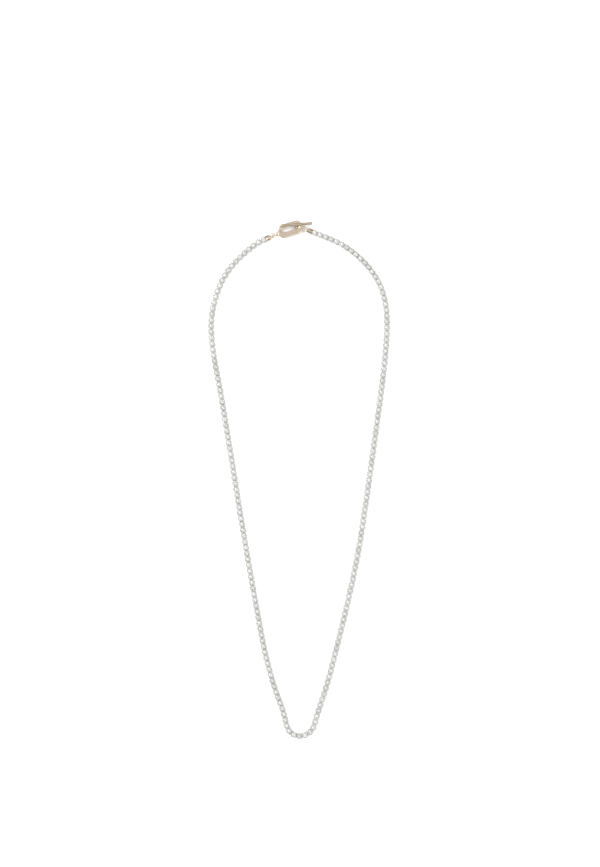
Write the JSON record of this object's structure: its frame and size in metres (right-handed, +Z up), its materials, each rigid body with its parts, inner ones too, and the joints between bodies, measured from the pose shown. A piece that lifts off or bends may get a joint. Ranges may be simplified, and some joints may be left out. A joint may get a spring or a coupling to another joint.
{
  "type": "pearl necklace",
  "caption": "Long single-strand necklace of small round pearls on a silk thread, closed by an oblong toggle link and T-bar clasp, laid flat in a narrow loop.",
  "frame": {"origin": "under the middle of the loop, on the surface that the necklace lies on", "axes": "+Y from the bottom of the loop to the clasp, +X to the right seen from above, +Z up"},
  "size_m": [0.1237, 0.3529, 0.0053],
  "materials": {
    "pearl": "white nacre, smooth with a soft satin lustre and a faint warm overtone",
    "gold": "polished pale champagne gold plating",
    "silk": "twisted white silk bead cord"
  },
  "bodies": {
    "bottom": {"bottom_pearls": "pearl", "bottom_thread": "silk"},
    "left_row_01": {"left_pearls_01": "pearl", "left_thread_01": "silk"},
    "right_row_01": {"right_pearls_01": "pearl", "right_thread_01": "silk"},
    "left_row_02": {"left_pearls_02": "pearl", "left_thread_02": "silk"},
    "right_row_02": {"right_pearls_02": "pearl", "right_thread_02": "silk"},
    "left_row_03": {"left_pearls_03": "pearl", "left_thread_03": "silk"},
    "right_row_03": {"right_pearls_03": "pearl", "right_thread_03": "silk"},
    "left_row_04": {"left_pearls_04": "pearl", "left_thread_04": "silk"},
    "right_row_04": {"right_pearls_04": "pearl", "right_thread_04": "silk"},
    "left_row_05": {"left_pearls_05": "pearl", "left_thread_05": "silk"},
    "right_row_05": {"right_pearls_05": "pearl", "right_thread_05": "silk"},
    "left_row_06": {"left_pearls_06": "pearl", "left_thread_06": "silk"},
    "right_row_06": {"right_pearls_06": "pearl", "right_thread_06": "silk"},
    "left_row_07": {"left_pearls_07": "pearl", "left_thread_07": "silk"},
    "right_row_07": {"right_pearls_07": "pearl", "right_thread_07": "silk"},
    "left_row_08": {"left_pearls_08": "pearl", "left_thread_08": "silk"},
    "right_row_08": {"right_pearls_08": "pearl", "right_thread_08": "silk"},
    "left_row_09": {"left_pearls_09": "pearl", "left_thread_09": "silk"},
    "right_row_09": {"right_pearls_09": "pearl", "right_thread_09": "silk"},
    "left_top": {"left_top_pearls": "pearl", "left_top_thread": "silk", "left_end_cap": "gold", "left_crimp": "gold"},
    "right_top": {"right_top_pearls": "pearl", "right_top_thread": "silk", "right_end_cap": "gold", "right_crimp": "gold"},
    "link": {"toggle_link": "gold"},
    "bar_ring": {"bar_jump_ring": "gold"},
    "bar": {"toggle_bar": "gold"},
    "left_ring": {"left_jump_ring": "gold"},
    "link_ring": {"link_jump_ring": "gold"},
    "bottom_bead": {"bottom_centre_pearl": "pearl"},
    "left_bead": {"left_end_pearl": "pearl"},
    "right_bead": {"right_end_pearl": "pearl"}
  },
  "joints": [
    {"name": "drape_01_left", "type": "hinge", "parent": "bottom", "child": "left_row_01", "pos_m": [-0.00984, -0.16134, 0.00198], "axis": [0.998, -0.0626, 0], "range_deg": [-18, 18]},
    {"name": "drape_01_right", "type": "hinge", "parent": "bottom", "child": "right_row_01", "pos_m": [0.01155, -0.16268, 0.00198], "axis": [0.998, -0.0626, 0], "range_deg": [-18, 18]},
    {"name": "drape_02_left", "type": "hinge", "parent": "left_row_01", "child": "left_row_02", "pos_m": [-0.02087, -0.1269, 0.00198], "axis": [0.9996, -0.0271, 0], "range_deg": [-18, 18]},
    {"name": "drape_02_right", "type": "hinge", "parent": "right_row_01", "child": "right_row_02", "pos_m": [0.02205, -0.12807, 0.00198], "axis": [0.9996, -0.0271, 0], "range_deg": [-18, 18]},
    {"name": "drape_03_left", "type": "hinge", "parent": "left_row_02", "child": "left_row_03", "pos_m": [-0.02819, -0.09147, 0.00198], "axis": [0.9997, -0.0251, 0], "range_deg": [-18, 18]},
    {"name": "drape_03_right", "type": "hinge", "parent": "right_row_02", "child": "right_row_03", "pos_m": [0.03081, -0.09296, 0.00198], "axis": [0.9997, -0.0251, 0], "range_deg": [-18, 18]},
    {"name": "drape_04_left", "type": "hinge", "parent": "left_row_03", "child": "left_row_04", "pos_m": [-0.03454, -0.05585, 0.00198], "axis": [0.9997, -0.0243, 0], "range_deg": [-18, 18]},
    {"name": "drape_04_right", "type": "hinge", "parent": "right_row_03", "child": "right_row_04", "pos_m": [0.03862, -0.05762, 0.00198], "axis": [0.9997, -0.0243, 0], "range_deg": [-18, 18]},
    {"name": "drape_05_left", "type": "hinge", "parent": "left_row_04", "child": "left_row_05", "pos_m": [-0.04054, -0.02016, 0.00198], "axis": [0.9998, -0.0208, 0], "range_deg": [-18, 18]},
    {"name": "drape_05_right", "type": "hinge", "parent": "right_row_04", "child": "right_row_05", "pos_m": [0.04454, -0.02193, 0.00198], "axis": [0.9998, -0.0208, 0], "range_deg": [-18, 18]},
    {"name": "drape_06_left", "type": "hinge", "parent": "left_row_05", "child": "left_row_06", "pos_m": [-0.04627, 0.01557, 0.00198], "axis": [0.9998, -0.0174, 0], "range_deg": [-18, 18]},
    {"name": "drape_06_right", "type": "hinge", "parent": "right_row_05", "child": "right_row_06", "pos_m": [0.04962, 0.0139, 0.00198], "axis": [0.9998, -0.0174, 0], "range_deg": [-18, 18]},
    {"name": "drape_07_left", "type": "hinge", "parent": "left_row_06", "child": "left_row_07", "pos_m": [-0.05211, 0.05128, 0.00198], "axis": [0.9999, -0.0143, 0], "range_deg": [-18, 18]},
    {"name": "drape_07_right", "type": "hinge", "parent": "right_row_06", "child": "right_row_07", "pos_m": [0.0545, 0.04976, 0.00198], "axis": [0.9999, -0.0143, 0], "range_deg": [-18, 18]},
    {"name": "drape_08_left", "type": "hinge", "parent": "left_row_07", "child": "left_row_08", "pos_m": [-0.05851, 0.08689, 0.00198], "axis": [0.9999, -0.0103, 0], "range_deg": [-18, 18]},
    {"name": "drape_08_right", "type": "hinge", "parent": "right_row_07", "child": "right_row_08", "pos_m": [0.05872, 0.08569, 0.00198], "axis": [0.9999, -0.0103, 0], "range_deg": [-18, 18]},
    {"name": "drape_09_left", "type": "hinge", "parent": "left_row_08", "child": "left_row_09", "pos_m": [-0.05739, 0.12278, 0.00198], "axis": [1, -0.0088, 0], "range_deg": [-18, 18]},
    {"name": "drape_09_right", "type": "hinge", "parent": "right_row_08", "child": "right_row_09", "pos_m": [0.05853, 0.12176, 0.00198], "axis": [1, -0.0088, 0], "range_deg": [-18, 18]},
    {"name": "drape_10_left", "type": "hinge", "parent": "left_row_09", "child": "left_top", "pos_m": [-0.03881, 0.15319, 0.00198], "axis": [0.9999, -0.0123, 0], "range_deg": [-18, 18]},
    {"name": "drape_10_right", "type": "hinge", "parent": "right_row_09", "child": "right_top", "pos_m": [0.04029, 0.15222, 0.00198], "axis": [0.9999, -0.0123, 0], "range_deg": [-18, 18]},
    {"name": "clasp_swing_link", "type": "hinge", "parent": "left_top", "child": "link", "pos_m": [-0.01481, 0.16762, 0.00225], "axis": [0.9889, 0.1477, -0.0139], "range_deg": [-20, 20]},
    {"name": "clasp_swing_ring", "type": "hinge", "parent": "right_top", "child": "bar_ring", "pos_m": [0.00481, 0.17056, 0.00198], "axis": [0.9889, 0.1477, -0.0139], "range_deg": [-20, 20]},
    {"name": "bar_turn", "type": "hinge", "parent": "bar_ring", "child": "bar", "pos_m": [-0.00146, 0.17177, 0.00122], "axis": [0, 0, 1], "range_deg": [-8, 6]},
    {"name": "left_ring_roll", "type": "hinge", "parent": "left_top", "child": "left_ring", "pos_m": [-0.01748, 0.16648, 0.0021], "axis": [0.9184, 0.3956, 0], "range_deg": [-25, 25]},
    {"name": "link_ring_roll", "type": "hinge", "parent": "left_top", "child": "link_ring", "pos_m": [-0.01592, 0.16715, 0.0021], "axis": [0.9184, 0.3956, 0], "range_deg": [-25, 25]},
    {"name": "bottom_pearl_spin", "type": "hinge", "parent": "bottom", "child": "bottom_bead", "pos_m": [0.00014, -0.17434, 0.00198], "axis": [0.9988, -0.0495, 0], "continuous": true},
    {"name": "left_pearl_spin", "type": "hinge", "parent": "left_top", "child": "left_bead", "pos_m": [-0.02415, 0.1636, 0.00198], "axis": [-0.9184, -0.3956, 0], "continuous": true},
    {"name": "right_pearl_spin", "type": "hinge", "parent": "right_top", "child": "right_bead", "pos_m": [0.01048, 0.16841, 0.00198], "axis": [-0.9351, 0.3544, 0], "continuous": true}
  ],
  "couplings": [
    {"joint": "drape_01_right", "follows": "drape_01_left", "ratio": 1},
    {"joint": "drape_02_right", "follows": "drape_02_left", "ratio": 1},
    {"joint": "drape_03_right", "follows": "drape_03_left", "ratio": 1},
    {"joint": "drape_04_right", "follows": "drape_04_left", "ratio": 1},
    {"joint": "drape_05_right", "follows": "drape_05_left", "ratio": 1},
    {"joint": "drape_06_right", "follows": "drape_06_left", "ratio": 1},
    {"joint": "drape_07_right", "follows": "drape_07_left", "ratio": 1},
    {"joint": "drape_08_right", "follows": "drape_08_left", "ratio": 1},
    {"joint": "drape_09_right", "follows": "drape_09_left", "ratio": 1},
    {"joint": "drape_10_right", "follows": "drape_10_left", "ratio": 1},
    {"joint": "clasp_swing_ring", "follows": "clasp_swing_link", "ratio": 1}
  ]
}
